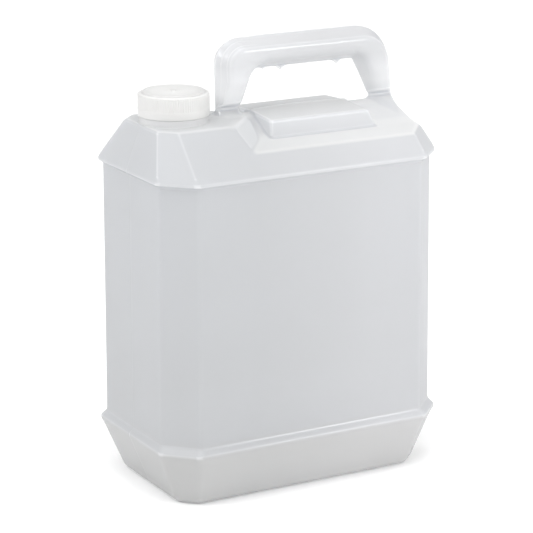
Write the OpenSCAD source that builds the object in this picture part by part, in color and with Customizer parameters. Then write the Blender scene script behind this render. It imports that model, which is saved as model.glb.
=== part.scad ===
// Flat five-litre water jug with a moulded-in handle and a screw cap.
// The frame: +X towards the handle end, -X towards the cap, +Z up,
// and the origin at the middle of the base. All sizes are millimetres.

/* [Tank] */
// Length of the label panel, from the cap end to the handle end
panel_length = 200; // [196:1:204]
// Depth of the label panel, front to back
panel_depth = 119.2; // [117:0.2:121]
// Leg of the flat that is cut across each upright corner
corner_cut = 19; // [16:0.5:21]
// Height of the panel's lower edge
panel_bottom = 43.5; // [42:0.5:45]
// Height of the panel's upper edge
panel_top = 212.2; // [210:0.2:213]
// How far the upper rim stands out from the panel
upper_rim = 2.4; // [1.5:0.1:3]
// How far the lower rim stands out from the panel
lower_rim = 3.7; // [3:0.1:4.2]
// How far the foot of the base is drawn in from the panel
base_draw_in = 9.8; // [8:0.1:11]
// Wall thickness
wall = 1.5; // [1.2:0.1:2]
// Depth of the recess in the underside
base_recess = 1.6; // [1:0.1:2]

/* [Shoulder] */
// Height of the flat deck that the neck stands on
deck_height = 243.5; // [242:0.5:245]
// Inset of the deck from the panel at its ends
deck_inset_end = 8.5; // [7:0.5:10]
// Inset of the deck from the panel at front and back
deck_inset_side = 26.8; // [25:0.2:28]
// Leg of the corner flat up at the deck
deck_corner_cut = 9.8; // [8:0.2:12]
// Height of the lower deck where it meets the pad under the handle
lower_deck_height = 231.2; // [230:0.2:232]
// Slope of the lower deck, in degrees
lower_deck_slope = 6.5; // [5:0.5:8]
// Length of the raised pad at its foot
pad_length = 79; // [74:1:82]
// Half depth of the raised pad
pad_half_depth = 28; // [26:0.5:29]
// Height of the pad's front and back edges
pad_edge_height = 243; // [242:0.2:244]
// Height of the pad's middle ridge
pad_ridge_height = 245.8; // [245:0.2:246.5]

/* [Handle] */
// Height of the top of the handle, which is the height of the jug
handle_top = 293.4; // [291:0.2:296]
// Height of the underside of the grip
grip_underside = 272.4; // [271:0.2:273]
// Half depth of the grip, front to back
grip_half_depth = 12.5; // [11:0.5:14]
// Half depth of the pinched waist above each foot
waist_half_depth = 3.2; // [2.5:0.1:4]

/* [Neck and cap] */
// Distance of the neck's axis from the middle of the jug
neck_offset = 68.1; // [66:0.1:69]
// Outer radius of the neck's wall
neck_radius = 19.2; // [19:0.1:19.4]
// Radius of the mouth
mouth_radius = 16.8; // [16:0.1:17.2]
// Height of the neck's lip
lip_height = 260.4; // [260:0.1:260.8]
// Rise of the thread in one turn
thread_pitch = 4; // [3.8:0.1:4.2]
// Turns of thread on the neck
thread_turns = 1.5; // [1.25:0.25:1.75]
// Outer radius of the cap's plain lower band
cap_radius = 23.1; // [23:0.1:24]
// Height of the underside of the cap's skirt
cap_bottom = 248; // [247.8:0.1:248.2]
// Height of the top of the cap
cap_top = 263.6; // [263.4:0.1:264]
// Number of grip ribs round the cap
rib_count = 72; // [48:1:96]
// Thickness of the sealing disc
liner_thickness = 1.1; // [0.8:0.1:1.1]

/* [Hidden] */
$fn = 96;

half_length = panel_length / 2;
half_depth = panel_depth / 2;
hdpe = [0.88, 0.9, 0.91, 0.75];
gap = 0.05;               // running gap above and below the sealing disc
slope_top = 250;          // the shoulder's slopes are carried up to here, then trimmed

// How fast the shoulder closes in between the upper rim and the deck
rim_crest = panel_top + 3.2;
end_rate = (deck_inset_end + upper_rim) / (deck_height - rim_crest);
side_rate = (deck_inset_side + upper_rim) / (deck_height - rim_crest);
cut_rate = (corner_cut - deck_corner_cut) / (deck_height - rim_crest);

// One level of the tank: its height, how far it stands out from the panel at the
// ends, the same at front and back, and the leg of its corner flat
function level(z, end_step, side_step, cut) = [z, end_step, side_step, cut];

// A level that stands out by the same step all round
function even_level(z, step, cut) = level(z, step, step, cut);

foot_cut = corner_cut - 7.6;
foot_levels = [
    even_level(0, -base_draw_in - 2.6, foot_cut - 1),
    even_level(0.9, -base_draw_in - 0.9, foot_cut - 0.4),
    even_level(3, -base_draw_in, foot_cut)
];
// The inside starts above the recess, on a floor one wall thick
floor_levels = [
    even_level(base_recess + wall, -base_draw_in - 1.2, foot_cut),
    even_level(base_recess + wall + 2, -base_draw_in + 0.5, foot_cut)
];
side_levels = [
    even_level(panel_bottom - 12.5, lower_rim - 2.4, corner_cut - 0.8),
    even_level(panel_bottom - 9, lower_rim - 0.5, corner_cut),
    even_level(panel_bottom - 7.2, lower_rim, corner_cut),
    even_level(panel_bottom - 5.2, lower_rim - 0.4, corner_cut),
    even_level(panel_bottom - 2, lower_rim - 1.8, corner_cut),
    even_level(panel_bottom, 0.7, corner_cut),
    even_level(panel_top, 0, corner_cut),
    even_level(panel_top + 0.8, upper_rim - 0.6, corner_cut),
    even_level(panel_top + 2.2, upper_rim, corner_cut),
    even_level(rim_crest, upper_rim, corner_cut),
    level(slope_top,
          upper_rim - end_rate * (slope_top - rim_crest),
          upper_rim - side_rate * (slope_top - rim_crest),
          corner_cut - cut_rate * (slope_top - rim_crest))
];

// The eight corners of one level, with all its faces moved in by inset
function tank_ring(l, inset) =
    let (x = half_length + l[1] - inset,
         y = half_depth + l[2] - inset,
         c = l[3] - inset * (2 - sqrt(2)))
    [[x, -y + c], [x, y - c], [x - c, y], [-x + c, y],
     [-x, y - c], [-x, -y + c], [-x + c, -y], [x - c, -y]];

// A closed solid through rings of points that all have the same count
module loft(rings) {
    sides = len(rings[0]);
    last = len(rings) - 1;
    polyhedron(
        points = [for (r = rings) each r],
        faces = concat(
            [[for (i = [0:sides - 1]) i]],
            [[for (i = [sides - 1:-1:0]) last * sides + i]],
            [for (k = [0:last - 1], i = [0:sides - 1])
                let (a = k * sides + i, b = k * sides + (i + 1) % sides)
                [a, a + sides, b + sides, b]]),
        convexity = 6);
}

// The tank's sides, up past the shoulder
module tank_sides(inset) {
    lowest = inset > 0 ? floor_levels : foot_levels;
    loft([for (l = concat(lowest, side_levels))
        [for (p = tank_ring(l, inset)) [p[0], p[1], l[0]]]]);
}

// Everything under the neck's flat deck and the two facets that lead down from
// it to the lower deck
module neck_deck(drop) {
    big = 400;
    ramp_turn = 46;       // the facets face this far round from the handle end
    ramp_slope = 44;
    ramp_start = [-44, 34, deck_height - drop];
    intersection() {
        translate([-big / 2, -big / 2, deck_height - drop - big])
            cube([big, big, big]);
        intersection_for (side = [-1, 1])
            translate([ramp_start[0], side * ramp_start[1], ramp_start[2]])
                rotate([0, 0, side * ramp_turn])
                    rotate([0, ramp_slope, 0])
                        translate([-big / 2, -big / 2, -big])
                            cube([big, big, big]);
    }
}

// The lower deck and the ridge that runs along under the handle
module lower_deck(drop) {
    foot = 26;            // half depth of the ridge at its foot
    crest = 4;            // half depth of the ridge at its top
    ridge_height = 243;
    outside = 80;
    fall = (outside - foot) * tan(lower_deck_slope);
    section = [
        [outside, 0], [outside, lower_deck_height - fall],
        [foot, lower_deck_height], [crest, ridge_height - 0.6],
        [0, ridge_height]
    ];
    mirrored = [for (i = [len(section) - 2:-1:0]) [-section[i][0], section[i][1]]];
    translate([-130, 0, -drop])
        rotate([90, 0, 90])
            linear_extrude(260)
                polygon(concat(section, mirrored));
}

// The raised pad under the hand, with a low ridge along its middle
module pad(inset) {
    left = -13 + inset;
    right = left + pad_length - 2 * inset;
    draft = 3;            // the handle end leans in by this much
    y = pad_half_depth - inset;
    edge = pad_edge_height - inset;
    ridge = pad_ridge_height - inset;
    foot = lower_deck_height - 4;
    hull() {
        translate([left, -y, foot]) cube([right - left, 2 * y, 1]);
        translate([left, -y, edge - 1]) cube([right - left - 2 * draft, 2 * y, 1]);
        translate([left, -gap, ridge - 1.2]) cube([0.1, 2 * gap, 0.1]);
        translate([(left + right) / 2, -gap, ridge - 0.1]) cube([0.1, 2 * gap, 0.1]);
        translate([right - 2 * draft - 0.1, -gap, ridge - 1.2]) cube([0.1, 2 * gap, 0.1]);
    }
}

// The jug's outer skin without the handle, or with inset its inner skin
module skin(inset) {
    intersection() {
        tank_sides(inset);
        union() {
            neck_deck(inset);
            lower_deck(inset);
            pad(inset);
        }
    }
}

// A foot of the handle: it flares from the pinched waist down to the deck
module handle_foot(x_from, x_to, waist_height, flare) {
    root = 240;
    hull() {
        translate([x_from, -waist_half_depth, waist_height - 1.5])
            cube([x_to - x_from, 2 * waist_half_depth, 1.5]);
        translate([x_from - flare[0], -10, root])
            cube([x_to - x_from + flare[0] + flare[1], 20, 1]);
    }
}

// Where the handle is pinched shut: [from x, to x, height]
left_waist = [-38.8, -20.2, 248];
right_waist = [75.6, 93.8, 246];

module underside_recess() {
    margin = 9;
    x = half_length - base_draw_in - margin;
    y = half_depth - base_draw_in - margin;
    translate([-x, -y, -1])
        cube([2 * x, 2 * y, base_recess + 1]);
}

module bottle_body() {
    color(hdpe)
    difference() {
        union() {
            skin(0);
            handle_foot(left_waist[0], left_waist[1], left_waist[2], [4, 4]);
            intersection() {
                handle_foot(right_waist[0], right_waist[1], right_waist[2], [3, 4]);
                translate([0, -50, 0]) cube([95.6, 100, 300]);
            }
        }
        skin(wall);
        underside_recess();
        translate([-neck_offset, 0, deck_height - 10])
            cylinder(r = mouth_radius, h = 20);
    }
}

function signed_power(v, p) = sign(v) * pow(abs(v), p);

// One cross-section of the handle, a rounded rectangle. A station of the handle is
// its inner edge and its outer edge, both [x, z], and its half depth.
handle_sides = 20;
squareness = 0.55;        // 1 is an ellipse, and 0 is a rectangle
function handle_ring(station, inset) =
    let (inner = station[0], outer = station[1], depth = station[2] - inset,
         middle = (inner + outer) / 2,
         span = norm(outer - inner),
         along = (outer - inner) / span,
         reach = span / 2 - inset)
    [for (i = [0:handle_sides - 1])
        let (a = 360 * i / handle_sides,
             u = reach * signed_power(cos(a), squareness),
             y = -depth * signed_power(sin(a), squareness))
        [middle[0] + along[0] * u, y, middle[1] + along[1] * u]];

// Stations round a corner of the arch, from one direction to another, with the
// inner and the outer edge each on an arc of its own: [centre, radius]
function corner(inner, outer, from, to) =
    let (step = (to - from) / 6)
    [for (k = [0:6])
        let (a = from + k * step, way = [cos(a), sin(a)])
        [inner[0] + inner[1] * way, outer[0] + outer[1] * way, grip_half_depth]];

left_bend = 17;           // outer radius at the cap end of the arch
right_bend = 24;          // outer radius at the other end
left_fillet = 4.5;        // radius of the finger gap's corner at the cap end
right_fillet = 1.5;       // radius of its other corner
arch_hollow = concat(
    [[[-17.8, 256], [-38.2, 255], grip_half_depth - 3],
     [[-15, 263], [-38, 266], grip_half_depth - 1.5]],
    corner([[-8, grip_underside - left_fillet], left_fillet],
           [[-21, handle_top - left_bend], left_bend], 180, 90),
    [[[28, grip_underside], [28, handle_top], grip_half_depth]],
    corner([[62.5, grip_underside - right_fillet], right_fillet],
           [[67.6, handle_top - right_bend], right_bend], 90, 0),
    [[[68, 262], [92.2, 261], grip_half_depth - 1.5],
     [[71.5, 255], [93, 253], grip_half_depth - 3]]);

// Stations at a pinched waist and just above it
function waist(inner_x, outer_x, height, lean) = [
    [[inner_x, height], [outer_x, height], waist_half_depth],
    [[inner_x + lean, height + 2.5], [outer_x + lean / 4, height + 2.5],
     grip_half_depth - 5]
];
left_end = waist(left_waist[1], left_waist[0], left_waist[2], 0.6);
right_end = waist(right_waist[0], right_waist[1], right_waist[2], -0.7);
arch = concat(left_end, arch_hollow, [right_end[1], right_end[0]]);

// A small wedge of flash left under the grip where the mould closed
module flash_nub(x) {
    width = 5;
    translate([x, 0.6, grip_underside])
        rotate([90, 0, 0])
            linear_extrude(1.2)
                polygon([[-width / 2, 1], [-width / 2, 0], [0, -2], [width / 2, 0],
                         [width / 2, 1]]);
}

module handle() {
    color(hdpe) {
        difference() {
            loft([for (station = arch) handle_ring(station, 0)]);
            loft([for (station = arch_hollow) handle_ring(station, wall)]);
        }
        flash_nub(9.6);
        flash_nub(51.8);
    }
}

// A ridge that climbs round the Z axis. Its section runs from the root radius to
// the crest radius, and it fades out over the last part of each end.
module thread_ridge(root, crest, start_height, turns, root_width, crest_width) {
    steps_per_turn = 30;
    steps = round(turns * steps_per_turn);
    fade = 3;
    rings = [for (k = [0:steps])
        let (a = 360 * k / steps_per_turn,
             z = start_height + thread_pitch * k / steps_per_turn,
             grow = min(1, (k + 0.6) / fade, (steps - k + 0.6) / fade),
             r = root + (crest - root) * grow,
             w = root_width + (crest_width - root_width) * grow)
        [[root * cos(a), root * sin(a), z - root_width / 2],
         [r * cos(a), r * sin(a), z - w / 2],
         [r * cos(a), r * sin(a), z + w / 2],
         [root * cos(a), root * sin(a), z + root_width / 2]]];
    loft(crest < root ? rings : [for (r = rings) [r[3], r[2], r[1], r[0]]]);
}

neck_thread_crest = neck_radius + 1.2;
thread_start = lip_height - 2.2 - thread_pitch * thread_turns;

module neck() {
    flange = neck_radius + 3.1;   // radius of the ring below the cap
    height = lip_height - deck_height;
    color(hdpe)
    translate([-neck_offset, 0, 0]) {
        translate([0, 0, deck_height])
            rotate_extrude()
                polygon([
                    [mouth_radius, 0], [flange + 0.4, 0], [flange, 0.4],
                    [flange, 2.6], [flange - 0.4, 3], [neck_radius, 3.1],
                    [neck_radius, height - 0.6], [neck_radius - 0.6, height],
                    [mouth_radius + 0.4, height], [mouth_radius, height - 0.4]
                ]);
        thread_ridge(neck_radius - 0.5, neck_thread_crest, thread_start,
                     thread_turns, 2, 0.9);
    }
}

skirt_bore = neck_thread_crest + 0.5;
cap_underside = lip_height + liner_thickness + 2 * gap;

module screw_cap() {
    rib = 0.5;            // height of a grip rib
    ribs_from = cap_bottom + 5;
    ribs_to = cap_top - 2.4;
    rim = cap_radius - 3.2;
    color("white")
    translate([-neck_offset, 0, 0]) {
        difference() {
            union() {
                translate([0, 0, cap_bottom])
                    rotate_extrude()
                        polygon([
                            [0, 0], [cap_radius - 0.4, 0], [cap_radius, 0.4],
                            [cap_radius, ribs_from - cap_bottom - 0.3],
                            [cap_radius - rib, ribs_from - cap_bottom],
                            [cap_radius - rib, ribs_to - cap_bottom],
                            [rim + 0.5, cap_top - cap_bottom - 0.1],
                            [rim, cap_top - cap_bottom], [0, cap_top - cap_bottom]
                        ]);
                translate([0, 0, ribs_from - 0.2])
                    linear_extrude(ribs_to - ribs_from + 0.2)
                        polygon([for (i = [0:2 * rib_count - 1])
                            let (r = cap_radius - (i % 2 == 0 ? 0.1 : rib + 0.1),
                                 a = 180 * i / rib_count)
                            [r * cos(a), r * sin(a)]]);
            }
            translate([0, 0, cap_bottom - 1])
                cylinder(r = skirt_bore, h = cap_underside - cap_bottom + 1);
            translate([0, 0, cap_top - 0.5])
                cylinder(r = rim - 0.8, h = 1);
        }
        // The gate mark in the middle of the top
        translate([0, 0, cap_top - 0.6])
            cylinder(r1 = 1.6, r2 = 1.2, h = 0.4);
        thread_ridge(skirt_bore + 0.4, neck_radius + 0.4,
                     cap_bottom + 1.7, 1.25, 2, 0.9);
    }
}

module cap_liner() {
    color([0.95, 0.95, 0.93])
    translate([-neck_offset, 0, lip_height + gap])
        cylinder(r = skirt_bore - 0.4, h = liner_thickness);
}

bottle_body();
neck();
handle();
screw_cap();
cap_liner();
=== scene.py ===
"""A large water jug: its finished surfaces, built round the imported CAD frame.

The jug's skin is one smooth blow-moulded shell. It is described as a distance
field in millimetres (negative inside the plastic), meshed on a grid that is
fine where the shape turns, and pulled onto the exact surface. The cap, the
neck and the liner are turned shapes, and the first two have helical threads.
"""
import math

import bmesh
import bpy
import numpy as np
from mathutils import Matrix, Vector


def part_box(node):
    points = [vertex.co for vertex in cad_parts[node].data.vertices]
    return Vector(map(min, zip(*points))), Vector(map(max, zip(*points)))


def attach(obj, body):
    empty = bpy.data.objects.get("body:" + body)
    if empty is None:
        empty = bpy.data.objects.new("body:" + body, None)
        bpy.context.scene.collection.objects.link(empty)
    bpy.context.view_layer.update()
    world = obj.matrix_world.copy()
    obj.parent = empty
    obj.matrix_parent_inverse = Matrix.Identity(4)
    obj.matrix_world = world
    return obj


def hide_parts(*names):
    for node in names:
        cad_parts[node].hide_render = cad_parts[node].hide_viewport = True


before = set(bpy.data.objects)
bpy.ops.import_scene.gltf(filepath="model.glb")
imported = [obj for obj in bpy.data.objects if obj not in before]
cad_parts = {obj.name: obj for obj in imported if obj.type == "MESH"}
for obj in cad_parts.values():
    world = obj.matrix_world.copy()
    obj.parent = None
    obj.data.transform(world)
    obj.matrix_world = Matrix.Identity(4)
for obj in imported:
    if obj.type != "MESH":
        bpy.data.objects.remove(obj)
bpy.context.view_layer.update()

MM = 0.001


def box_mm(node):
    """A CAD node's lowest and highest corner, in millimetres."""
    lo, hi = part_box(node)
    return np.array(lo) / MM, np.array(hi) / MM


BODY_HI = box_mm("bottle_body")[1]
NECK_LO, NECK_HI = box_mm("neck")
HANDLE_HI = box_mm("handle")[1]
CAP_LO, CAP_HI = box_mm("screw_cap")
LINER_LO, LINER_HI = box_mm("cap_liner")

# ---------------------------------------------------------------- dimensions
# The tank, as in the CAD: the panel is the jug's middle, and the rims stand out
LOWER_RIM = 3.7
UPPER_RIM = 2.4
HALF_LENGTH = BODY_HI[0] - LOWER_RIM
HALF_DEPTH = BODY_HI[1] - LOWER_RIM
CORNER_CUT = 19.0
PANEL_BOTTOM = 43.5
PANEL_TOP = 212.2
BASE_DRAW_IN = 9.8
TOP_STARTS = 200  # below this height the decks and the handle can't matter
WALL = 1.5
BASE_RECESS = 1.6
BASE_RIM_WIDTH = 11.0
BASE_EDGE_RADIUS = 4.5
INNER_EDGE_RADIUS = 6.0
# The shoulder and the decks
DECK_HEIGHT = NECK_LO[2]
DECK_INSET_END = 8.5
DECK_INSET_SIDE = 26.8
DECK_CORNER_CUT = 9.8
LOWER_DECK_HEIGHT = 231.2
LOWER_DECK_SLOPE = math.radians(6.5)
RIDGE_HEIGHT = 243.2
PAD_LEFT = -13.0
PAD_RIGHT = 66.0
PAD_HALF_DEPTH = 28.0
PAD_EDGE_HEIGHT = 243.0
PAD_RIDGE_HEIGHT = 245.9
# The handle. Its left leg is the one beside the cap
GRIP_TOP = HANDLE_HI[2]
GRIP_UNDERSIDE = 272.4
GRIP_MIDDLE = 28
GRIP_HALF_DEPTH = HANDLE_HI[1]
FACE_SLANT = 0.5  # fall of its outside and its gap's face, per mm away from y = 0
LEFT_LEG = (-38.2, 262, 0.01)  # a point (x, height) on its outer face, and its lean
RIGHT_LEG = (91.6, 266, 0.125)
LEFT_BEND = 17.0
RIGHT_BEND = 22.0
GAP_LEFT = ((-20.2, 248), (-12.6, 269))  # from (x, height) to (x, height)
GAP_RIGHT = ((75.4, 248), (64, 272))
GAP_LEFT_BEND = 4.5
GAP_RIGHT_BEND = 1.2
LEFT_WAIST = 248.0
RIGHT_WAIST = 246.0
WAIST_HALF_DEPTH = 3.2
WAIST_HALF_HEIGHT = 0.9
LEG_ROOT = 236  # the legs run down into the shoulder to this height
HANDLE_RIDGES = (0.36, 0.7)  # where they run on its outside, as shares of its half depth
FLASH_NUBS = ((9.6, 2.4), (51.8, 2.2), (-3.5, 0.9))  # (x, size), under the grip
# The neck
NECK_X = (NECK_LO[0] + NECK_HI[0]) / 2
NECK_RADIUS = 19.2
MOUTH_RADIUS = 16.8
NECK_RING = 22.3
NECK_RING_HEIGHT = 4.4
LIP_HEIGHT = NECK_HI[2]
THREAD_PITCH = 4.0
THREAD_ROOT = 1.0  # half the thread's height at its root
THREAD_CREST = 0.45  # and at its crest
CAP_RIBS = 90


# ------------------------------------------------------------ blending tools
def smooth_max(a, b, k):
    """The larger of two distances, with the edge between them softened over k."""
    h = np.maximum(k - np.abs(a - b), 0) / k
    return np.maximum(a, b) + h * h * k / 4


def smooth_min(a, b, k):
    """The smaller of two distances, with the crease between them softened over k."""
    return -smooth_max(-a, -b, k)


def round_max(a, b, r):
    """Where two faces meet at a right angle, with the edge rounded to radius r."""
    outside = np.hypot(np.maximum(a + r, 0), np.maximum(b + r, 0))
    return np.minimum(np.maximum(a, b) + r, 0) + outside - r


def smooth_step(a, b, v):
    """From 0 at a to 1 at b, with level ends. Either of a and b may be the larger."""
    t = np.clip((v - a) / (b - a), 0, 1)
    return t * t * (3 - 2 * t)


class Profile:
    """A smooth curve through (height, value) corners, each corner blurred."""

    STEP = 0.1

    def __init__(self, corners, blur):
        heights, values = zip(*corners)
        self.z = np.arange(heights[0], heights[-1], self.STEP)
        raw = np.interp(self.z, heights, values)
        reach = int(4 * blur / self.STEP)
        span = np.arange(-reach, reach + 1) * self.STEP
        kernel = np.exp(-0.5 * (span / blur) ** 2)
        padded = np.pad(raw, reach, mode="reflect", reflect_type="odd")
        self.value = np.convolve(padded, kernel / kernel.sum(), "valid")
        self.slope = np.gradient(self.value, self.STEP)

    def at(self, z):
        return np.interp(z, self.z, self.value), np.interp(z, self.z, self.slope)


# ------------------------------------------------------------ the jug's skin
RIM_CREST = PANEL_TOP + 3.2
LOWEST = -12  # the taper of the base is carried down past the floor, to here
HIGHEST = 262.0  # and the shoulder's slopes up past the deck, to here
RISE = DECK_HEIGHT - RIM_CREST
EDGE_SOFT = 1.6
EDGE_BEAD = 0.34  # height of the raised line along a corner facet's edges
EDGE_BEAD_WIDTH = 0.95


def shoulder_step(inset):
    """How far a face stands out at HIGHEST, if it is drawn in by inset at the deck."""
    return UPPER_RIM - (inset + UPPER_RIM) / RISE * (HIGHEST - RIM_CREST)


# (height, how far a face stands out there from the flat panel)
COMMON_STEPS = [
    (LOWEST, -BASE_DRAW_IN - 6.2),
    (PANEL_BOTTOM - 7.0, LOWER_RIM - 0.1),
    (PANEL_BOTTOM - 6.3, LOWER_RIM + 0.15),
    (PANEL_BOTTOM - 5.0, LOWER_RIM + 0.15),
    (PANEL_BOTTOM - 4.2, LOWER_RIM - 0.25),
    (PANEL_BOTTOM - 1.9, 1.35),
    (PANEL_BOTTOM - 0.6, 0.8),
    (PANEL_BOTTOM + 3, 0.7),
    (PANEL_TOP - 1, 0),
    (PANEL_TOP, 0),
    (PANEL_TOP + 0.9, UPPER_RIM - 0.6),
    (PANEL_TOP + 1.6, UPPER_RIM + 0.1),
    (RIM_CREST, UPPER_RIM + 0.1),
    (RIM_CREST + 0.9, UPPER_RIM - 0.35),
]
RIM_BLUR = 0.55
END_STEP = Profile(COMMON_STEPS + [(HIGHEST, shoulder_step(DECK_INSET_END))], RIM_BLUR)
SIDE_STEP = Profile(COMMON_STEPS + [(HIGHEST, shoulder_step(DECK_INSET_SIDE))], RIM_BLUR)
# How much the corner facets cut off, at each height
CUT = Profile(
    [
        (LOWEST, CORNER_CUT - 8.6),
        (3, CORNER_CUT - 7.6),
        (PANEL_BOTTOM - 11, CORNER_CUT),
        (RIM_CREST, CORNER_CUT),
        (HIGHEST, CORNER_CUT - (CORNER_CUT - DECK_CORNER_CUT) / RISE * (HIGHEST - RIM_CREST)),
    ],
    blur=1.0,
)


def tank_sides(x, y, z):
    """The eight upright faces, with their rims, base taper and shoulder."""
    ax, ay = np.abs(x), np.abs(y)
    end, end_slope = END_STEP.at(z)
    side, side_slope = SIDE_STEP.at(z)
    cut, cut_slope = CUT.at(z)
    end_face = (ax - HALF_LENGTH - end) / np.hypot(1, end_slope)
    side_face = (ay - HALF_DEPTH - side) / np.hypot(1, side_slope)
    reach = HALF_LENGTH + end + HALF_DEPTH + side - cut
    corner_slope = (end_slope + side_slope - cut_slope) / math.sqrt(2)
    corner = (ax + ay - reach) / math.sqrt(2) / np.hypot(1, corner_slope)
    flat = np.maximum(end_face, side_face)
    on_shoulder = smooth_step(RIM_CREST + 1, RIM_CREST + 4, z)
    bead = EDGE_BEAD * on_shoulder * np.exp(-(((flat - corner) / EDGE_BEAD_WIDTH) ** 2))
    return smooth_max(flat, corner, EDGE_SOFT) - bead


def neck_deck(x, y, z):
    """The flat deck round the neck, and the two facets that lead down from it."""
    turn, slope = math.radians(42), math.radians(44.4)
    start_x, start_y = -44, 34
    normal = (math.sin(slope) * math.cos(turn), math.sin(slope) * math.sin(turn), math.cos(slope))
    ahead = (x - start_x) * normal[0] + (np.abs(y) - start_y) * normal[1]
    return smooth_max(z - DECK_HEIGHT, ahead + (z - DECK_HEIGHT) * normal[2], 3.5)


def lower_deck(y, z):
    """The lower deck and the long ridge under the handle."""
    ay = np.abs(y)
    foot, crest = 26.0, 4.0
    slope = LOWER_DECK_SLOPE
    deck = (z - LOWER_DECK_HEIGHT + (ay - foot) * math.tan(slope)) * math.cos(slope)
    rise = (RIDGE_HEIGHT - LOWER_DECK_HEIGHT) / (foot - crest)
    flank = (z - RIDGE_HEIGHT + (ay - crest) * rise) / math.hypot(1, rise)
    ridge = smooth_max(flank, z - RIDGE_HEIGHT, 2.0)
    return smooth_min(deck, ridge, 2.5)


def pad(x, y, z):
    """The raised pad under the hand, arched along and ridged across."""
    ay = np.abs(y)
    arch, front_lean, right_lean = 1.2, 0.06, 0.5
    middle, half = (PAD_LEFT + PAD_RIGHT - 6) / 2, (PAD_RIGHT - PAD_LEFT) / 2
    crown = PAD_RIDGE_HEIGHT - arch * ((x - middle) / half) ** 2
    top = z - PAD_EDGE_HEIGHT - (crown - PAD_EDGE_HEIGHT) * (1 - ay / PAD_HALF_DEPTH)
    front = ay - PAD_HALF_DEPTH - (PAD_EDGE_HEIGHT - z) * front_lean
    left = PAD_LEFT - x
    right = (x - PAD_RIGHT + (z - LOWER_DECK_HEIGHT) * right_lean) / math.hypot(1, right_lean)
    ends = smooth_max(smooth_max(left, right, 1.5), front, 1.8)
    return smooth_max(ends, top, 1.8)


def by_leg(x, left, right):
    """The left leg's value or the right one's, whichever leg x is nearer to."""
    return np.where(x < GRIP_MIDDLE, left, right)


def handle_outside(x, z):
    """Distance from the arch's outside, seen square from the front."""
    left_x, left_z, lean = LEFT_LEG
    left = left_x - x - (z - left_z) * lean
    right_x, right_z, lean = RIGHT_LEG
    right = (x - right_x + (z - right_z) * lean) / math.hypot(1, lean)
    top = z - GRIP_TOP
    return by_leg(x, round_max(left, top, LEFT_BEND), round_max(right, top, RIGHT_BEND))


def handle_gap(x, z):
    """Distance from the finger gap, seen square from the front."""
    (foot_x, foot_z), (head_x, head_z) = GAP_LEFT
    lean = (head_x - foot_x) / (head_z - foot_z)
    left = (foot_x + (z - foot_z) * lean - x) / math.hypot(1, lean)
    (foot_x, foot_z), (head_x, head_z) = GAP_RIGHT
    lean = (foot_x - head_x) / (head_z - foot_z)
    right = (x - head_x - (head_z - z) * lean) / math.hypot(1, lean)
    under = z - GRIP_UNDERSIDE
    return by_leg(x, round_max(left, under, GAP_LEFT_BEND), round_max(right, under, GAP_RIGHT_BEND))


def handle(x, y, z, inset):
    """The arch, pinched to a thin waist above each foot. Its outside and its gap's
    face are V-shaped across, and come to a ridge along the parting line, y = 0."""
    ay = np.abs(y)
    from_middle = np.sqrt(y * y + 0.3)
    square = math.hypot(1, FACE_SLANT)
    outer = (handle_outside(x, z) + FACE_SLANT * from_middle) / square
    gap = (handle_gap(x, z) - FACE_SLANT * from_middle) / square
    above = z - by_leg(x, LEFT_WAIST, RIGHT_WAIST)
    swell = smooth_step(WAIST_HALF_HEIGHT, 5.0, above) * (0.6 + 0.4 * smooth_step(4, 20, above))
    depth = WAIST_HALF_DEPTH + (GRIP_HALF_DEPTH - WAIST_HALF_DEPTH) * swell
    foot_depth = WAIST_HALF_DEPTH + 1.4 * np.maximum(-above - WAIST_HALF_HEIGHT, 0)
    depth = np.where(above < 0, foot_depth, depth)
    if inset:
        depth = depth - inset - 3.0 * (1 - smooth_step(1.0, 6.0, above))
    else:
        ridge_height = 0.05 + 0.17 * smooth_step(0, -28, x)
        for share in HANDLE_RIDGES:
            outer = outer - np.exp(-(((ay - share * depth) / 0.7) ** 2)) * ridge_height
    side = (ay - depth) * 0.95
    around = round_max(outer + inset, side, 2.4 - inset)
    return smooth_max(around, round_max(inset - gap, side, 4.5 - inset), 2.0)


def flash_nubs(x, y, z):
    """Small wedges of flash left under the grip where the mould closed."""
    nubs = np.full(np.shape(x), 50.0)
    for nub_x, size in FLASH_NUBS:
        wedge = (np.abs(x - nub_x) * 0.75 + (GRIP_UNDERSIDE - z) - size) / 1.25
        nubs = np.minimum(nubs, np.maximum(wedge, z - GRIP_UNDERSIDE - 2))
    return smooth_max(nubs, np.abs(y) - 0.8, 0.5)


def with_top(sides, x, y, z, inset):
    """The tank's sides, closed by the decks and the pad, and with the handle."""
    roof = smooth_min(neck_deck(x, y, z), lower_deck(y, z), 2.0)
    roof = smooth_min(roof, pad(x, y, z), 1.6) + inset
    tank = smooth_max(sides, roof, 2.0)
    arch = handle(x, y, z, inset)
    if inset:
        return np.minimum(tank, np.maximum(arch, LEFT_WAIST - z))
    tank = smooth_min(tank, np.maximum(arch, LEG_ROOT - z), 5.0)
    return smooth_min(tank, flash_nubs(x, y, z), 0.8)


def end_seam(y, z):
    """Height of the mould's parting line up the two ends."""
    return 0.16 * smooth_step(0.5, 4, z) * smooth_step(242, 236, z) * np.exp(-((y / 0.9) ** 2))


def pad_seam(x, y, z):
    """Height of the parting line along the pad's ridge."""
    on_pad = smooth_step(PAD_LEFT, PAD_LEFT + 4, x) * smooth_step(PAD_RIGHT + 4, PAD_RIGHT - 2, x)
    return 0.55 * on_pad * smooth_step(243, 244.5, z) * np.exp(-((y / 1.2) ** 2))


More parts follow.
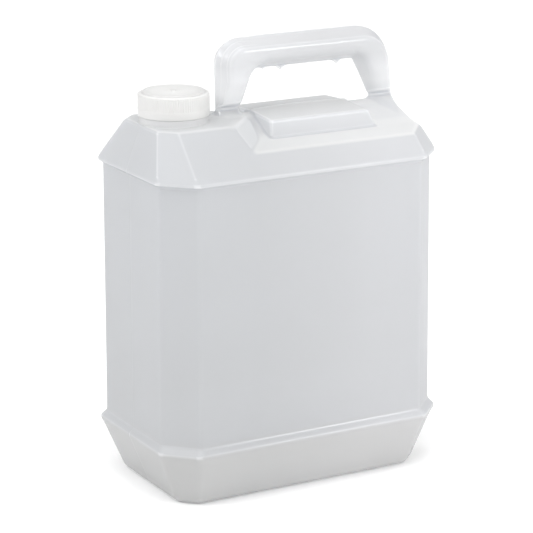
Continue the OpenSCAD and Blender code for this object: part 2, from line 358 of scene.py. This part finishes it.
def jug_skin(x, y, z, inset=0.0):
    """Distance to the jug's outer skin, or with inset to its inner skin."""
    skin = tank_sides(x, y, z) + inset
    if np.max(z) > TOP_STARTS:
        skin = with_top(skin, x, y, z, inset)
    if inset:
        return round_max(skin, BASE_RECESS + inset - z, INNER_EDGE_RADIUS)
    skin = round_max(skin, -z, BASE_EDGE_RADIUS)
    recess = np.maximum(tank_sides(x, y, 0 * z) + BASE_RIM_WIDTH, z - BASE_RECESS)
    skin = smooth_max(skin, -recess, 1.6)
    return skin - end_seam(y, z) - pad_seam(x, y, z)


# ------------------------------------------------------------------- meshing
def spaced(start, *runs):
    """Grid lines from a start value through (end, spacing) runs."""
    lines = [start]
    for end, gap in runs:
        count = max(1, round((end - lines[-1]) / gap))
        lines += list(np.linspace(lines[-1], end, count + 1)[1:])
    return np.array(lines)


def mirrored_lines(*runs):
    """As spaced(), from 0 outwards on both sides."""
    half = spaced(0.0, *runs)
    return np.concatenate([-half[:0:-1], half])


def crossings(values, lines, axis):
    """The grid edges along one axis that cross the surface: their indices, the
    points where they cross, and which of them lead into the plastic."""
    low = [slice(None)] * 3
    high = [slice(None)] * 3
    low[axis] = slice(0, -1)
    high[axis] = slice(1, None)
    low, high = tuple(low), tuple(high)
    inside = values < 0
    where = np.nonzero(inside[low] != inside[high])
    a, b = values[low][where], values[high][where]
    points = np.stack([lines[k][where[k]] for k in range(3)], 1)
    step = lines[axis][where[axis] + 1] - lines[axis][where[axis]]
    points[:, axis] += a / (a - b) * step
    return where, points, a > 0


def cells_round(where, axis, cells):
    """The four cells round each grid edge, in order, as (number, is it in the grid)."""
    u, v = (axis + 1) % 3, (axis + 2) % 3
    for du, dv in ((-1, -1), (0, -1), (0, 0), (-1, 0)):
        index = [where[0].copy(), where[1].copy(), where[2].copy()]
        index[u] += du
        index[v] += dv
        ok = (index[u] >= 0) & (index[v] >= 0)
        ok &= (index[u] < cells[u]) & (index[v] < cells[v])
        yield (index[0] * cells[1] + index[1]) * cells[2] + index[2], ok


def surface_net(values, lines):
    """Vertices and quads of the surface where a grid of distances is zero: a vertex
    in each cell that it passes through, and a quad round each edge that crosses it."""
    cells = tuple(n - 1 for n in values.shape)
    total = np.zeros((math.prod(cells), 3))
    hits = np.zeros(math.prod(cells))
    quads = []
    for axis in range(3):
        where, points, entering = crossings(values, lines, axis)
        corners = []
        keep = np.ones(len(points), bool)
        for cell, ok in cells_round(where, axis, cells):
            keep &= ok
            corners.append(np.where(ok, cell, 0))
            for k in range(3):
                total[:, k] += np.bincount(cell[ok], points[ok, k], len(total))
            hits += np.bincount(cell[ok], minlength=len(hits))
        around = np.stack(corners, 1)[keep]
        flip = entering[keep]
        around[flip] = around[flip, ::-1]
        quads.append(around)
    used = np.nonzero(hits)[0]
    number = np.full(len(hits), -1)
    number[used] = np.arange(len(used))
    return total[used] / hits[used, None], number[np.concatenate(quads)]


def slope_at(points, distance, eps=0.04):
    """The direction in which the distance grows, at each point."""
    x, y, z = points.T
    return np.stack(
        [
            distance(x + eps, y, z) - distance(x - eps, y, z),
            distance(x, y + eps, z) - distance(x, y - eps, z),
            distance(x, y, z + eps) - distance(x, y, z - eps),
        ],
        1,
    ) / (2 * eps)


def bend_at(points, distance, eps=0.45):
    """How sharply the surface bends, per millimetre: above 0 on an edge, below in a crease."""
    x, y, z = points.T
    total = -6 * distance(x, y, z)
    for dx, dy, dz in ((eps, 0, 0), (0, eps, 0), (0, 0, eps)):
        total = total + distance(x + dx, y + dy, z + dz) + distance(x - dx, y - dy, z - dz)
    return total / eps**2


def settle(points, distance, rounds=3, reach=0.6):
    """Pulls points onto the surface where distance is zero."""
    for _ in range(rounds):
        slope = slope_at(points, distance)
        size = np.maximum((slope**2).sum(1), 0.2)
        move = slope * (distance(*points.T) / size)[:, None]
        length = np.linalg.norm(move, axis=1)
        move *= np.minimum(1, reach / np.maximum(length, 1e-9))[:, None]
        points = points - move
    return points


def mesh_field(distance, xs, ys, zs):
    """The surface of a distance field as (points in millimetres, quads)."""
    values = np.empty((len(xs), len(ys), len(zs)), np.float32)
    layers = 12  # at a time, to save memory
    for start in range(0, len(zs), layers):
        part = zs[start : start + layers]
        x, y, z = np.meshgrid(xs, ys, part, indexing="ij")
        values[:, :, start : start + layers] = distance(x, y, z)
    points, quads = surface_net(values.astype(float), (xs, ys, zs))
    return settle(points, distance), quads


def add_mesh(name, points, faces):
    """A new object from points in millimetres and a list or array of faces."""
    mesh = bpy.data.meshes.new(name)
    mesh.from_pydata((np.asarray(points) * MM).tolist(), [], [list(map(int, f)) for f in faces])
    mesh.validate()
    mesh.polygons.foreach_set("use_smooth", [True] * len(mesh.polygons))
    obj = bpy.data.objects.new(name, mesh)
    bpy.context.scene.collection.objects.link(obj)
    return obj


def drop_inside_circle(points, quads, radius):
    """Leaves out the quads of the deck that lie under the neck."""
    away = np.hypot(points[:, 0] - NECK_X, points[:, 1])
    under = (away < radius) & (points[:, 2] > LOWER_DECK_HEIGHT)
    keep = ~under[quads].any(1)
    quads = quads[keep]
    used = np.unique(quads)
    number = np.full(len(points), -1)
    number[used] = np.arange(len(used))
    return points[used], number[quads]


def thinned(points, quads, triangles):
    """The same surface with fewer faces, most of them where it turns."""
    obj = add_mesh("thinning", points, np.concatenate([quads[:, :3], quads[:, [0, 2, 3]]]))
    obj.modifiers.new("thin", "DECIMATE").ratio = triangles / (2 * len(quads))
    done = obj.evaluated_get(bpy.context.evaluated_depsgraph_get()).data
    count = len(done.vertices)
    flat = np.empty(count * 3, np.float32)
    done.vertices.foreach_get("co", flat)
    faces = np.empty(len(done.loops), np.int32)
    done.loops.foreach_get("vertex_index", faces)
    bpy.data.objects.remove(obj)
    return flat.reshape(-1, 3) / MM, faces.reshape(-1, 3)


def skin_mesh(distance, grid, neck_hole, triangles):
    """Points, faces and normals of one skin, open where the neck joins it."""
    points, quads = mesh_field(distance, *grid)
    points, quads = drop_inside_circle(points, quads, neck_hole)
    points, faces = thinned(points, quads, triangles)
    points = settle(points, distance, 2)
    normals = slope_at(points, distance, 0.08)
    return points, faces, normals / np.linalg.norm(normals, axis=1)[:, None]


def inner_skin(x, y, z):
    return jug_skin(x, y, z, WALL)


def make_jug_shell():
    # Grid lines along x, y and z: close where the skin turns, far apart on plain walls
    outer_grid = (
        spaced(-105.0, (-77, 0.7), (-46, 1.5), (-4, 0.9), (50, 1.6), (98, 0.9), (105, 0.7)),
        mirrored_lines((1.4, 0.28), (14, 0.8), (24, 1.3), (34, 0.8), (44, 1.3), (64.5, 0.7)),
        spaced(-1.0, (6, 0.7), (31, 5), (46, 0.5), (208, 27), (219, 0.5), (226, 0.9), (296, 0.7)),
    )
    inner_grid = (
        spaced(-105.0, (-78, 1.8), (-46, 3), (98, 2.2), (105, 1.8)),
        mirrored_lines((14, 1.75), (36, 2.4), (64, 2.0)),
        spaced(0.0, (10, 1.6), (31, 5), (46, 1.5), (208, 27), (295, 1.7)),
    )
    outer = skin_mesh(jug_skin, outer_grid, neck_hole=NECK_RING - 1.5, triangles=150_000)
    inner = skin_mesh(inner_skin, inner_grid, neck_hole=MOUTH_RADIUS + 0.6, triangles=34_000)
    points = np.concatenate([outer[0], inner[0]])
    faces = np.concatenate([outer[1], inner[1][:, ::-1] + len(outer[0])])
    shell = add_mesh("jug_shell", points, faces)
    shell.data.normals_split_custom_set_from_vertices(np.concatenate([outer[2], -inner[2]]))
    # The bend, kept on the points for the painted highlight on edges and painted shade in creases.
    bend = np.concatenate([bend_at(outer[0], jug_skin), np.zeros(len(inner[0]))])
    attribute = shell.data.attributes.new("bend", "FLOAT", "POINT")
    attribute.data.foreach_set("value", np.clip(bend, -2, 2))
    is_inner = np.arange(len(faces)) >= len(outer[1])
    shell.data.polygons.foreach_set("material_index", is_inner.astype(np.int32))
    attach(shell, "bottle")
    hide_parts("bottle_body", "handle")
    return shell


# -------------------------------------------------------------- turned parts
def turned(profile, steps, bend=None):
    """A shape turned about the Z axis from [(radius, height), ...], closed into a
    loop. bend(angle, radius, height) may move a point in or out."""
    points, faces = [], []
    for i in range(steps):
        a = 2 * math.pi * i / steps
        for r, z in profile:
            if bend:
                r = bend(a, r, z)
            points.append((r * math.cos(a), r * math.sin(a), z))
    n = len(profile)
    for i in range(steps):
        j = (i + 1) % steps
        for k in range(n):
            m = (k + 1) % n
            faces.append((i * n + k, j * n + k, j * n + m, i * n + m))
    return points, faces


def disc_turned(profile, steps, bend=None):
    """As turned(), but the profile starts and ends on the axis."""
    points, faces = turned(profile[1:-1], steps, bend)
    n = len(profile) - 2
    faces = [f for f in faces if {f[0] % n, f[3] % n} != {0, n - 1}]
    first, last = len(points), len(points) + 1
    points += [(0, 0, profile[0][1]), (0, 0, profile[-1][1])]
    for i in range(steps):
        j = (i + 1) % steps
        faces.append((first, j * n, i * n))
        faces.append((last, i * n + n - 1, j * n + n - 1))
    return points, faces


def arc(centre, radius, start, end, steps):
    """Points on an arc, angles in degrees."""
    angles = np.radians(np.linspace(start, end, steps + 1))
    return [(centre[0] + radius * math.cos(a), centre[1] + radius * math.sin(a)) for a in angles]


def thread(root, crest, start, turns):
    """A ridge that climbs round the Z axis and fades out at both ends."""
    per_turn = 72
    count = round(turns * per_turn)
    fade = 9
    upper_half = [(1, 0.3), (0.8, 0.62), (0.35, 0.93), (0, 1.0)]
    section = [(out, -side) for out, side in reversed(upper_half)] + upper_half
    points, faces = [], []
    n = len(section)
    for k in range(count + 1):
        a = 2 * math.pi * k / per_turn
        z = start + THREAD_PITCH * k / per_turn
        grow = smooth_step(-1, fade, min(k, count - k))
        for out, side in section:
            r = root + (crest - root) * out * grow
            half = THREAD_CREST + (THREAD_ROOT - THREAD_CREST) * abs(side)
            half = THREAD_ROOT if abs(side) > 0.9 else half
            points.append((r * math.cos(a), r * math.sin(a), z + side * half))
    outward = crest > root
    for k in range(count):
        for i in range(n):
            j = (i + 1) % n
            face = (k * n + i, k * n + j, (k + 1) * n + j, (k + 1) * n + i)
            faces.append(face[::-1] if outward else face)
    start_cap, end_cap = tuple(range(n)), tuple(range(count * n, count * n + n))
    faces += [start_cap, end_cap[::-1]] if outward else [start_cap[::-1], end_cap]
    return points, faces


def joined(name, groups, offset):
    """One object from several (points, faces) groups, moved by offset."""
    points, faces = [], []
    for group_points, group_faces in groups:
        start = len(points)
        points += [(x + offset[0], y + offset[1], z + offset[2]) for x, y, z in group_points]
        faces += [tuple(start + i for i in f) for f in group_faces]
    obj = add_mesh(name, points, faces)
    bm = bmesh.new()
    bm.from_mesh(obj.data)
    bmesh.ops.recalc_face_normals(bm, faces=bm.faces)
    bm.to_mesh(obj.data)
    bm.free()
    return obj


def make_neck():
    """The threaded finish, with the ring that closes it onto the deck."""
    height = LIP_HEIGHT - DECK_HEIGHT
    lip = 0.7
    r = NECK_RADIUS
    profile = (
        [(MOUTH_RADIUS, -WALL - 0.6), (NECK_RING - 2, -WALL - 0.6)]
        + arc((NECK_RING + 0.6, 0.6), 0.6, 260, 180, 4)
        + arc((NECK_RING - 0.5, NECK_RING_HEIGHT - 0.5), 0.5, 0, 80, 4)
        + [(r + 0.5, NECK_RING_HEIGHT), (r, NECK_RING_HEIGHT + 0.4), (r, height - lip)]
        + arc((r - lip, height - lip), lip, 0, 90, 5)
        + arc((MOUTH_RADIUS + lip, height - lip), lip, 90, 180, 5)
        + [(MOUTH_RADIUS, height - 2), (MOUTH_RADIUS, 0)]
    )
    turns = 1.5
    ridge = thread(r - 0.5, r + 1.2, height - 2.2 - THREAD_PITCH * turns, turns)
    neck = joined("neck_finish", [turned(profile, 144), ridge], (NECK_X, 0, DECK_HEIGHT))
    for face in neck.data.polygons:
        away = math.hypot(face.center.x / MM - NECK_X, face.center.y / MM)
        face.material_index = int(away < MOUTH_RADIUS + 0.1)
    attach(neck, "bottle")
    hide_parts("neck")
    return neck


def make_cap():
    """The cap: a plain band, a ribbed skirt, and a dished top with a moulding dot."""
    outer = (CAP_HI[0] - CAP_LO[0]) / 2
    height = CAP_HI[2] - CAP_LO[2]
    band = 4.8
    rib = 0.18
    skirt = outer - 0.1
    rim = outer - 3.2
    rib_top = height - 2.4
    bore = NECK_RADIUS + 1.7
    underside = LINER_HI[2] - CAP_LO[2] + 0.05
    rib_heights = (band + 0.25, band + 0.5, band + 2, band + 4, rib_top - 1, rib_top)

    def ribbed(a, r, z):
        if r < outer - 1.0 or z < band or z > rib_top + 0.3:
            return r
        wave = 0.5 - 0.5 * math.cos(CAP_RIBS * a)
        return r - rib * wave**1.4 * float(smooth_step(band, band + 0.5, z))

    profile = (
        [(0, underside), (bore * 0.5, underside), (bore - 0.6, underside)]
        + arc((bore - 0.6, underside - 0.6), 0.6, 90, 0, 3)
        + [(bore, 4), (bore, 0.5), (bore + 0.5, 0), (outer - 0.6, 0)]
        + arc((outer - 0.5, 0.5), 0.5, -90, 0, 4)
        + [(outer, band - 0.4), (outer - 0.05, band)]
        + [(skirt, z) for z in rib_heights]
        + arc((outer - 0.9, rib_top), 0.8, 15, 80, 5)
        + arc((rim + 0.9, rib_top + 1.5), 0.5, 250, 190, 4)
        + arc((rim - 0.5, height - 0.7), 0.7, 20, 110, 6)
        + [(rim - 1.0, height - 0.35), (rim - 1.3, height - 0.5), (rim - 2.2, height - 0.55)]
        + [(rim * 0.5, height - 0.5), (1.9, height - 0.5), (1.6, height - 0.42)]
        + [(1.5, height - 0.1), (1.2, height), (0, height)]
    )
    body = disc_turned(profile, CAP_RIBS * 8, ribbed)
    ridge = thread(bore + 0.4, NECK_RADIUS + 0.4, 1.7, 1.25)
    cap = joined("screw_cap_moulded", [body, ridge], (NECK_X, 0, CAP_LO[2]))
    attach(cap, "cap")
    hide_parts("screw_cap")
    return cap


def make_liner():
    """The foam disc, dented where it has been pressed on the neck's lip."""
    radius = (LINER_HI[0] - LINER_LO[0]) / 2
    thick = LINER_HI[2] - LINER_LO[2]
    soft = 0.3
    dent = 0.12
    profile = (
        [(0, 0), (MOUTH_RADIUS - 1, 0), (MOUTH_RADIUS, dent), (NECK_RADIUS, dent), (radius - 0.8, 0)]
        + arc((radius - soft, soft), soft, -90, 0, 3)
        + arc((radius - soft, thick - soft), soft, 0, 90, 3)
        + [(0, thick)]
    )
    liner = joined("cap_liner_disc", [disc_turned(profile, 96)], (NECK_X, 0, LINER_LO[2]))
    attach(liner, "liner")
    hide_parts("cap_liner")
    return liner


# ----------------------------------------------------------------- materials
def new_material(name):
    """A material, its node tree, its main shader and its output."""
    mat = bpy.data.materials.new(name)
    mat.use_nodes = True
    tree = mat.node_tree
    return mat, tree, tree.nodes["Principled BSDF"], tree.nodes["Material Output"]


def noise(tree, scale, detail=2.0):
    """Smooth noise through the object's own space."""
    coords = tree.nodes.new("ShaderNodeTexCoord")
    node = tree.nodes.new("ShaderNodeTexNoise")
    node.inputs["Scale"].default_value = scale
    node.inputs["Detail"].default_value = detail
    tree.links.new(coords.outputs["Object"], node.inputs["Vector"])
    return node.outputs["Fac"]


def ramp(tree, source, low, high):
    """A colour that goes from low to high while the source goes from 0.3 to 0.7."""
    node = tree.nodes.new("ShaderNodeValToRGB")
    node.color_ramp.elements[0].position = 0.3
    node.color_ramp.elements[0].color = (*low, 1)
    node.color_ramp.elements[1].position = 0.7
    node.color_ramp.elements[1].color = (*high, 1)
    tree.links.new(source, node.inputs["Fac"])
    return node.outputs["Color"]


def bump(tree, source, strength, distance):
    """A normal that stands for small bumps, the distance in metres."""
    node = tree.nodes.new("ShaderNodeBump")
    node.inputs["Strength"].default_value = strength
    node.inputs["Distance"].default_value = distance
    tree.links.new(source, node.inputs["Height"])
    return node.outputs["Normal"]


def mixed(tree, share, first, second):
    """Two shaders, with this share of the second."""
    node = tree.nodes.new("ShaderNodeMixShader")
    node.inputs["Fac"].default_value = share
    tree.links.new(first, node.inputs[1])
    tree.links.new(second, node.inputs[2])
    return node.outputs["Shader"]


# The wall's colour where it is upright, with painted light: lighter up the shoulder and the handle
# where light from above falls, lifted most low on the handle's legs and a little on the base to take
# out their shade: (height in millimetres, colour)
UPRIGHT_LIGHT_TINT = [
    (0, (0.715, 0.71, 0.703)),
    (34, (0.718, 0.712, 0.706)),
    (46, (0.67, 0.676, 0.69)),
    (210, (0.685, 0.692, 0.71)),
    (232, (0.80, 0.806, 0.822)),
    (245, (0.84, 0.85, 0.865)),
    (258, (0.97, 0.975, 0.98)),
    (267, (0.91, 0.915, 0.925)),
    (276, (0.80, 0.805, 0.815)),
    (293, (0.79, 0.795, 0.81)),
]
# Painted light: sloping faces get their own tone for the light they catch.
SLOPE_LIGHT_TINT = (0.72, 0.726, 0.742)  # where it slopes
# Painted light: the facets that slope down to the lower deck, facing right, are painted lighter.
RAMP_LIGHT_TINT = (0.87, 0.875, 0.885)  # and where it slopes down to the lower deck
# Painted light: lighter where it faces up, towards the light above: (height in millimetres, colour)
TOP_LIGHT_TINT = [
    (225, (0.91, 0.91, 0.90)),
    (240, (0.87, 0.87, 0.87)),
    (243.8, (0.86, 0.86, 0.86)),
    (245, (0.80, 0.80, 0.795)),
    (293, (0.80, 0.80, 0.81)),
]
# Painted highlight along sharp edges, where rims, ridges and corners catch the light.
EDGE_HIGHLIGHT = (0.99, 0.99, 0.995)  # on sharp edges
# Painted shade in creases.
CREASE_SHADE = (0.68, 0.69, 0.72)  # and in creases
# The neck's tint, painted lighter than the wall to lift the shade under the cap.
NECK_LIFTED_TINT = (0.90, 0.90, 0.90)


def by_height(tree, height, tints):
    """A colour that changes with height, from a list of (height, colour)."""
    node = tree.nodes.new("ShaderNodeValToRGB")
    stops = node.color_ramp.elements
    stops[0].position, stops[1].position = 0.0, 1.0
    for _ in range(len(tints) - 2):
        stops.new(0.5)
    for stop, (level, colour) in zip(stops, tints):
        stop.position = level / GRIP_TOP
        stop.color = (*colour, 1)
    tree.links.new(height, node.inputs["Fac"])
    return node.outputs["Color"]


def colour_with(tree, source, socket):
    """Gives a colour input a plain colour or a link."""
    if isinstance(source, tuple):
        socket.default_value = (*source, 1)
    else:
        tree.links.new(source, socket)


def blended(tree, mode, factor, first, second):
    """Two colours mixed. The factor is a number or a socket."""
    node = tree.nodes.new("ShaderNodeMix")
    node.data_type = "RGBA"
    node.blend_type = mode
    if isinstance(factor, (int, float)):
        node.inputs["Factor"].default_value = factor
    else:
        tree.links.new(factor, node.inputs["Factor"])
    colour_with(tree, first, node.inputs["A"])
    colour_with(tree, second, node.inputs["B"])
    return node.outputs["Result"]


def between(tree, source, low, high):
    """0 below low and 1 above high, with a soft change between."""
    node = tree.nodes.new("ShaderNodeMapRange")
    node.interpolation_type = "SMOOTHSTEP"
    node.inputs["From Min"].default_value = low
    node.inputs["From Max"].default_value = high
    tree.links.new(source, node.inputs["Value"])
    return node.outputs["Result"]


def along(tree, source, axis, scale=1.0, start=0.0):
    """One component of a vector, times scale, plus start."""
    split = tree.nodes.new("ShaderNodeSeparateXYZ")
    share = tree.nodes.new("ShaderNodeMath")
    share.operation = "MULTIPLY_ADD"
    share.inputs[1].default_value = scale
    share.inputs[2].default_value = start
    tree.links.new(source, split.inputs["Vector"])
    tree.links.new(split.outputs[axis], share.inputs[0])
    return share.outputs["Value"]


def cloudy(tree, tint):
    """The tint with soft patches, as in a wall of uneven thickness."""
    cloud = ramp(tree, noise(tree, 7), (0.965, 0.962, 0.955), (1, 1, 1))
    return blended(tree, "MULTIPLY", 1.0, tint, cloud)


def neck_tint(tree):
    """The neck is thick and milky all over; its one tint is painted lighter than the wall to lift
    the shade under the cap.
    """
    return cloudy(tree, NECK_LIFTED_TINT)


def jug_tint_and_light(tree):
    """The wall's colour with painted light: set by height and by which way it faces, lighter towards
    the light, with a painted highlight along sharp edges, painted shade in creases, and soft
    patches.
    """
    coords = tree.nodes.new("ShaderNodeTexCoord")
    height = along(tree, coords.outputs["Object"], "Z", 1 / (GRIP_TOP * MM))
    facing_up = along(tree, coords.outputs["Normal"], "Z")
    facing_right = along(tree, coords.outputs["Normal"], "X")
    on_shoulder = between(tree, height, 229 / GRIP_TOP, 232 / GRIP_TOP)
    on_handle = between(tree, height, 246 / GRIP_TOP, 252 / GRIP_TOP)

    # Painted light by facing: slopes, facets that face right and faces that turn up each get their
    # own lighter or darker tone.
    ramps = blended(tree, "MIX", on_shoulder, SLOPE_LIGHT_TINT, RAMP_LIGHT_TINT)
    slopes = blended(tree, "MIX", between(tree, facing_right, 0.3, 0.45), SLOPE_LIGHT_TINT, ramps)
    slopes = blended(tree, "MIX", on_handle, slopes, UPRIGHT_LIGHT_TINT[-1][1])
    upright = by_height(tree, height, UPRIGHT_LIGHT_TINT)
    tint = blended(tree, "MIX", between(tree, facing_up, 0.12, 0.3), upright, slopes)
    top = by_height(tree, height, TOP_LIGHT_TINT)
    tint = blended(tree, "MIX", between(tree, facing_up, 0.78, 0.95), tint, top)
    tint = cloudy(tree, tint)

    # Painted light: the tank lighter towards its right end, where the light falls, and the handle
    # lighter towards its left leg to lift its shade.
    across = along(tree, coords.outputs["Object"], "X", 1 / (2 * HALF_LENGTH * MM), 0.5)
    tank_side_light = ramp(tree, across, (0.925, 0.93, 0.93), (1, 1, 1))
    handle_side_light = ramp(tree, across, (1, 1, 1), (0.93, 0.93, 0.93))
    side_light = blended(tree, "MIX", on_handle, tank_side_light, handle_side_light)
    tint = blended(tree, "MULTIPLY", 1.0, tint, side_light)

    # Painted shade in creases and a painted highlight along sharp edges, from the stored bend.
    bend = tree.nodes.new("ShaderNodeAttribute")
    bend.attribute_name = "bend"
    creased = along(tree, bend.outputs["Vector"], "X", -1)
    tint = blended(tree, "MIX", between(tree, creased, 0.2, 1.2), tint, CREASE_SHADE)
    return blended(tree, "MIX", between(tree, bend.outputs["Fac"], 0.1, 1.2), tint, EDGE_HIGHLIGHT)


def milky_hdpe(name, tint_for):
    """Natural polyethylene: milky, lit from behind as much as from in front."""
    mat, tree, skin, out = new_material(name)
    tint = tint_for(tree)
    tree.links.new(tint, skin.inputs["Base Color"])
    tree.links.new(bump(tree, noise(tree, 60), 0.03, 0.001), skin.inputs["Normal"])
    skin.inputs["Roughness"].default_value = 0.17
    skin.inputs["IOR"].default_value = 1.5
    glow = tree.nodes.new("ShaderNodeBsdfTranslucent")
    tree.links.new(tint, glow.inputs["Color"])
    clear = tree.nodes.new("ShaderNodeBsdfTransparent")
    clear.inputs["Color"].default_value = (0.97, 0.98, 1, 1)
    milk = mixed(tree, 0.5, skin.outputs["BSDF"], glow.outputs["BSDF"])
    tree.links.new(mixed(tree, 0.15, milk, clear.outputs["BSDF"]), out.inputs["Surface"])
    return mat


def clear_inside():
    """The inner face of the wall: the milkiness is in the wall, so this adds little."""
    mat, tree, skin, out = new_material("hdpe_inner_face")
    skin.inputs["Base Color"].default_value = (0.86, 0.87, 0.88, 1)
    skin.inputs["Roughness"].default_value = 0.4
    clear = tree.nodes.new("ShaderNodeBsdfTransparent")
    through = mixed(tree, 0.85, skin.outputs["BSDF"], clear.outputs["BSDF"])
    tree.links.new(through, out.inputs["Surface"])
    return mat


def white_pp():
    """Opaque white polypropylene with a satin gloss."""
    mat, tree, skin, out = new_material("white_pp")
    speckle = ramp(tree, noise(tree, 60), (0.98, 0.98, 0.975), (1, 1, 1))
    coords = tree.nodes.new("ShaderNodeTexCoord")
    facing_up = along(tree, coords.outputs["Normal"], "Z")
    # Painted light: the top, which faces up, is lighter than the skirt.
    skirt, top = (0.81, 0.808, 0.802), (0.93, 0.93, 0.925)
    tint = blended(tree, "MIX", between(tree, facing_up, 0.85, 0.98), skirt, top)
    tint = blended(tree, "MULTIPLY", 1.0, tint, speckle)
    tree.links.new(tint, skin.inputs["Base Color"])
    tree.links.new(bump(tree, noise(tree, 500), 0.04, 0.0004), skin.inputs["Normal"])
    skin.inputs["Roughness"].default_value = 0.32
    glow = tree.nodes.new("ShaderNodeBsdfTranslucent")
    tree.links.new(tint, glow.inputs["Color"])
    satin = mixed(tree, 0.3, skin.outputs["BSDF"], glow.outputs["BSDF"])
    tree.links.new(satin, out.inputs["Surface"])
    return mat


def foam():
    """Closed-cell foam for the liner."""
    mat, tree, skin, _ = new_material("liner_foam")
    tint = ramp(tree, noise(tree, 900, 3), (0.83, 0.83, 0.81), (0.9, 0.9, 0.88))
    tree.links.new(tint, skin.inputs["Base Color"])
    tree.links.new(bump(tree, noise(tree, 1500), 0.2, 0.0004), skin.inputs["Normal"])
    skin.inputs["Roughness"].default_value = 0.7
    return mat


def give(obj, *mats):
    """Fills the object's material slots, in order."""
    for mat in mats:
        obj.data.materials.append(mat)


# --------------------------------------------------------------------- stage
def make_floor():
    half = 30.0
    corners = [(-half, -half, 0), (half, -half, 0), (half, half, 0), (-half, half, 0)]
    mesh = bpy.data.meshes.new("floor")
    mesh.from_pydata(corners, [], [(0, 1, 2, 3)])
    floor = bpy.data.objects.new("floor", mesh)
    bpy.context.scene.collection.objects.link(floor)
    mat, _, skin, _ = new_material("pale_floor")
    skin.inputs["Base Color"].default_value = (0.95, 0.95, 0.95, 1)
    skin.inputs["Roughness"].default_value = 0.9
    skin.inputs["Specular IOR Level"].default_value = 0.1
    give(floor, mat)


def add_light(name, data, place, towards):
    """A light at a place, shining in a direction."""
    light = bpy.data.objects.new(name, data)
    light.location = place
    light.rotation_mode = "QUATERNION"
    light.rotation_quaternion = towards.to_track_quat("-Z", "Y")
    bpy.context.scene.collection.objects.link(light)


def area_light(name, place, width, height, power):
    """A soft box that is aimed at the middle of the jug."""
    data = bpy.data.lights.new(name, "AREA")
    data.shape = "RECTANGLE"
    data.size = width
    data.size_y = height
    data.energy = power
    add_light(name, data, place, Vector((0, 0, 0.15)) - Vector(place))


def make_lights():
    world = bpy.data.worlds.new("studio")
    bpy.context.scene.world = world
    world.use_nodes = True
    background = world.node_tree.nodes["Background"]
    background.inputs["Color"].default_value = (1, 1, 1, 1)
    background.inputs["Strength"].default_value = 0.58
    overhead = bpy.data.lights.new("overhead", "SUN")
    overhead.angle = math.radians(80)
    overhead.energy = 1.9
    add_light("overhead", overhead, (0, 0, 0), Vector((0.34, 0.27, -0.9)))
    area_light("front_right", (0.85, -1.5, 0.62), 0.25, 0.55, 9)
    area_light("left_back", (-1.6, 0.4, 1.2), 0.5, 0.5, 8)
    area_light("right_fill", (1.7, -0.2, 1.5), 0.6, 0.6, 5)
    area_light("top_front", (-0.12, -0.62, 1.9), 0.25, 0.25, 2.5)
    area_light("right_back", (1.2, 1.2, 0.9), 0.3, 0.3, 0.4)


def make_camera():
    """The camera looks at the jug's cap end and front, a little from above."""
    azimuth, elevation, roll = math.radians(-28.876), math.radians(15.495), math.radians(-0.218)
    distance = 1.5874
    aim = Vector((-0.00079, 0.00044, 0.13781))
    level = math.cos(elevation)
    back = Vector((math.sin(azimuth) * level, -math.cos(azimuth) * level, math.sin(elevation)))
    level_right = Vector((math.cos(azimuth), math.sin(azimuth), 0))
    level_up = back.cross(level_right)
    right = math.cos(roll) * level_right + math.sin(roll) * level_up
    up = back.cross(right)
    data = bpy.data.cameras.new("camera")
    data.sensor_width = 36
    data.lens = 161.79
    data.clip_start, data.clip_end = 0.05, 60
    camera = bpy.data.objects.new("camera", data)
    turn = Matrix((right, up, back)).transposed()
    camera.matrix_world = Matrix.Translation(aim + back * distance) @ turn.to_4x4()
    bpy.context.scene.collection.objects.link(camera)
    bpy.context.scene.camera = camera


# ------------------------------------------------------------------ assembly
make_camera()
make_floor()
make_lights()
inside = clear_inside()
give(make_jug_shell(), milky_hdpe("milky_hdpe", jug_tint_and_light), inside)
give(make_neck(), milky_hdpe("neck_hdpe", neck_tint), inside)
give(make_cap(), white_pp())
give(make_liner(), foam())
bpy.context.scene.view_settings.view_transform = "Standard"
